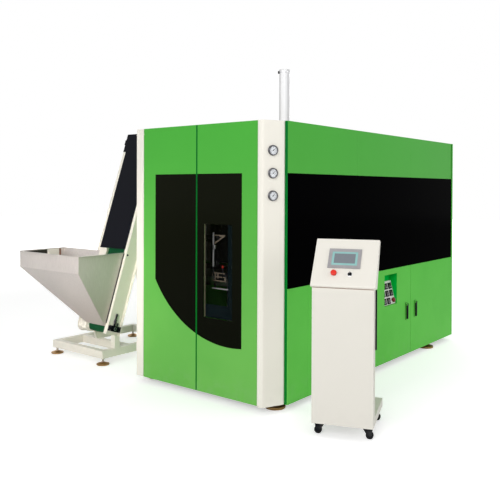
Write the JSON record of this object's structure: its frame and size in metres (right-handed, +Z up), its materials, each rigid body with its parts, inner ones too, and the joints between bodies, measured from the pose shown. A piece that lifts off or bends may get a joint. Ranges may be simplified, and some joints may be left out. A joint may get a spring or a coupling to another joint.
{
  "type": "blow moulding machine",
  "caption": "Enclosed two-stage bottle blow moulding machine with arc-shaped front window, inclined preform elevator with hopper, roof vent pipe and a touch-screen console on castors.",
  "frame": {"origin": "on the floor under the middle of the whole machine's bounding box", "axes": "+X to the right along the cabinet's front, +Y to its back, +Z up; the front doors face -Y"},
  "size_m": [3.8031, 3.3464, 2.512],
  "materials": {
    "green_paint": "gloss spring green",
    "cream_paint": "satin cream white",
    "elevator_cream": "satin cream",
    "console_cream": "satin warm white",
    "frame_steel": "satin light grey",
    "bright_steel": "brushed",
    "stainless_sheet": "brushed sheet",
    "chrome_steel": "ground and hard chromed",
    "mould_alloy": "machined",
    "foot_bronze": "bronze coloured",
    "black_acrylic": "dark tinted, polished",
    "black_sheet": "satin black",
    "black_plastic": "fine grain",
    "belt_green": "matt dark green",
    "tyre_rubber": "matt black",
    "red_plastic": "moulded",
    "grey_plastic": "fine grain",
    "plate_white": "satin white",
    "lamp_quartz": "clear quartz",
    "pipe_white": "satin white"
  },
  "bodies": {
    "machine": {"base_frame": "frame_steel", "upper_frame": "frame_steel", "bed_table": "bright_steel", "levelling_feet": "foot_bronze", "corner_post_right": "cream_paint", "corner_post_left": "cream_paint", "roof_panel": "cream_paint", "fixed_wall_panels": "green_paint", "side_header_panels": "green_paint", "side_window_panels": "black_acrylic", "pressure_gauges": "bright_steel", "vent_pipe": "pipe_white", "hinge_lugs": "bright_steel", "clamp_frame": "frame_steel", "guide_bars": "chrome_steel", "oven_housing": "bright_steel", "oven_lamps": "lamp_quartz", "preform_chain": "bright_steel", "gear_motors": "elevator_cream", "preform_rail": "stainless_sheet", "elevator_base": "elevator_cream", "elevator_rails": "elevator_cream", "elevator_belt": "belt_green", "belt_cover": "black_sheet", "belt_bearings": "black_sheet", "preform_hopper": "stainless_sheet", "console_housing": "console_cream", "console_rear_cover": "black_sheet", "touch_screen": "grey_plastic"},
    "front_leaf_left": {"front_door_left": "green_paint", "front_window_left": "black_acrylic"},
    "front_leaf_right": {"front_door_right": "green_paint", "front_window_right": "black_acrylic"},
    "side_leaf_near": {"side_door_near": "green_paint", "zone_control_plate": "plate_white", "zone_controllers": "black_plastic"},
    "side_leaf_far": {"side_door_far": "green_paint"},
    "near_latch": {"near_latch_lever": "black_plastic"},
    "far_latch": {"far_latch_lever": "black_plastic"},
    "zone_stop": {"zone_stop_button": "red_plastic"},
    "clamp_left": {"platen_left": "bright_steel", "mould_left": "mould_alloy"},
    "clamp_right": {"platen_right": "bright_steel", "mould_right": "mould_alloy"},
    "base_lift": {"base_mould": "mould_alloy"},
    "stretch_unit": {"stretch_rod_unit": "bright_steel"},
    "chain_drive": {"drive_wheel": "bright_steel"},
    "chain_idle": {"idle_wheel": "bright_steel"},
    "belt_drive": {"belt_drive_drum": "bright_steel"},
    "belt_head": {"belt_head_drum": "bright_steel"},
    "console_stop": {"console_stop_button": "red_plastic"},
    "selector": {"mode_selector": "black_plastic"},
    "castor_1": {"castor_fork_1": "black_sheet"},
    "wheel_1": {"castor_wheel_1": "tyre_rubber"},
    "castor_2": {"castor_fork_2": "black_sheet"},
    "wheel_2": {"castor_wheel_2": "tyre_rubber"},
    "castor_3": {"castor_fork_3": "black_sheet"},
    "wheel_3": {"castor_wheel_3": "tyre_rubber"},
    "castor_4": {"castor_fork_4": "black_sheet"},
    "wheel_4": {"castor_wheel_4": "tyre_rubber"}
  },
  "joints": [
    {"name": "front_leaf_left_hinge", "type": "hinge", "parent": "machine", "child": "front_leaf_left", "pos_m": [-0.21205, -1.52682, 1.075], "axis": [0, 0, -1], "range_deg": [0, 90]},
    {"name": "front_leaf_right_hinge", "type": "hinge", "parent": "machine", "child": "front_leaf_right", "pos_m": [0.95395, -1.52682, 1.075], "axis": [0, 0, 1], "range_deg": [0, 90]},
    {"name": "side_leaf_near_hinge", "type": "hinge", "parent": "machine", "child": "side_leaf_near", "pos_m": [1.11645, -0.36232, 0.47], "axis": [0, 0, -1], "range_deg": [0, 100]},
    {"name": "side_leaf_far_hinge", "type": "hinge", "parent": "machine", "child": "side_leaf_far", "pos_m": [1.11645, 1.63218, 0.47], "axis": [0, 0, 1], "range_deg": [0, 100]},
    {"name": "near_latch_hinge", "type": "hinge", "parent": "side_leaf_near", "child": "near_latch", "pos_m": [1.13945, 0.55318, 0.523], "axis": [0, -1, 0], "range_deg": [0, 40]},
    {"name": "far_latch_hinge", "type": "hinge", "parent": "side_leaf_far", "child": "far_latch", "pos_m": [1.13945, 0.74518, 0.523], "axis": [0, -1, 0], "range_deg": [0, 40]},
    {"name": "zone_stop_slide", "type": "slide", "parent": "side_leaf_near", "child": "zone_stop", "axis": [-0.9699, 0, -0.2436], "range_m": [0, 0.005], "stiffness_N_per_m": 800, "springref_m": -0.002},
    {"name": "clamp_left_slide", "type": "slide", "parent": "machine", "child": "clamp_left", "axis": [-1, 0, 0], "range_m": [0, 0.15]},
    {"name": "clamp_right_slide", "type": "slide", "parent": "machine", "child": "clamp_right", "axis": [1, 0, 0], "range_m": [0, 0.15]},
    {"name": "base_lift_slide", "type": "slide", "parent": "machine", "child": "base_lift", "axis": [0, 0, 1], "range_m": [0, 0.044]},
    {"name": "stretch_slide", "type": "slide", "parent": "machine", "child": "stretch_unit", "axis": [0, 0, -1], "range_m": [0, 0.37]},
    {"name": "chain_drive_turn", "type": "hinge", "parent": "machine", "child": "chain_drive", "pos_m": [0.40845, -0.03682, 0.93], "axis": [0, 0, 1], "continuous": true},
    {"name": "chain_idle_turn", "type": "hinge", "parent": "machine", "child": "chain_idle", "pos_m": [0.40845, 1.16318, 0.93], "axis": [0, 0, 1], "continuous": true},
    {"name": "belt_drive_turn", "type": "hinge", "parent": "machine", "child": "belt_drive", "pos_m": [-1.14905, -1.2665, 0.30854], "axis": [1, 0, 0], "continuous": true},
    {"name": "belt_head_turn", "type": "hinge", "parent": "machine", "child": "belt_head", "pos_m": [-1.14905, -0.67072, 2.05864], "axis": [1, 0, 0], "continuous": true},
    {"name": "console_stop_slide", "type": "slide", "parent": "machine", "child": "console_stop", "axis": [-0.2795, 0.7396, -0.6123], "range_m": [0, 0.005], "stiffness_N_per_m": 800, "springref_m": -0.002},
    {"name": "selector_turn", "type": "hinge", "parent": "machine", "child": "selector", "pos_m": [1.72451, -1.53713, 1.05723], "axis": [0.2795, -0.7396, 0.6123], "range_deg": [-45, 45]},
    {"name": "castor_1_swivel", "type": "hinge", "parent": "machine", "child": "castor_1", "pos_m": [1.5335, -1.58331, 0.06], "axis": [0, 0, 1], "continuous": true},
    {"name": "wheel_1_roll", "type": "hinge", "parent": "castor_1", "child": "wheel_1", "pos_m": [1.52041, -1.58826, 0.025], "axis": [-0.3535, 0.9354, 0], "continuous": true},
    {"name": "castor_2_swivel", "type": "hinge", "parent": "machine", "child": "castor_2", "pos_m": [1.82349, -1.47373, 0.06], "axis": [0, 0, 1], "continuous": true},
    {"name": "wheel_2_roll", "type": "hinge", "parent": "castor_2", "child": "wheel_2", "pos_m": [1.83659, -1.46878, 0.025], "axis": [-0.3535, 0.9354, 0], "continuous": true},
    {"name": "castor_3_swivel", "type": "hinge", "parent": "machine", "child": "castor_3", "pos_m": [1.40201, -1.23532, 0.06], "axis": [0, 0, 1], "continuous": true},
    {"name": "wheel_3_roll", "type": "hinge", "parent": "castor_3", "child": "wheel_3", "pos_m": [1.38892, -1.24027, 0.025], "axis": [-0.3535, 0.9354, 0], "continuous": true},
    {"name": "castor_4_swivel", "type": "hinge", "parent": "machine", "child": "castor_4", "pos_m": [1.692, -1.12574, 0.06], "axis": [0, 0, 1], "continuous": true},
    {"name": "wheel_4_roll", "type": "hinge", "parent": "castor_4", "child": "wheel_4", "pos_m": [1.7051, -1.1208, 0.025], "axis": [-0.3535, 0.9354, 0], "continuous": true}
  ],
  "couplings": [
    {"joint": "clamp_right_slide", "follows": "clamp_left_slide", "ratio": 1},
    {"joint": "chain_idle_turn", "follows": "chain_drive_turn", "ratio": 1},
    {"joint": "belt_head_turn", "follows": "belt_drive_turn", "ratio": 1}
  ]
}
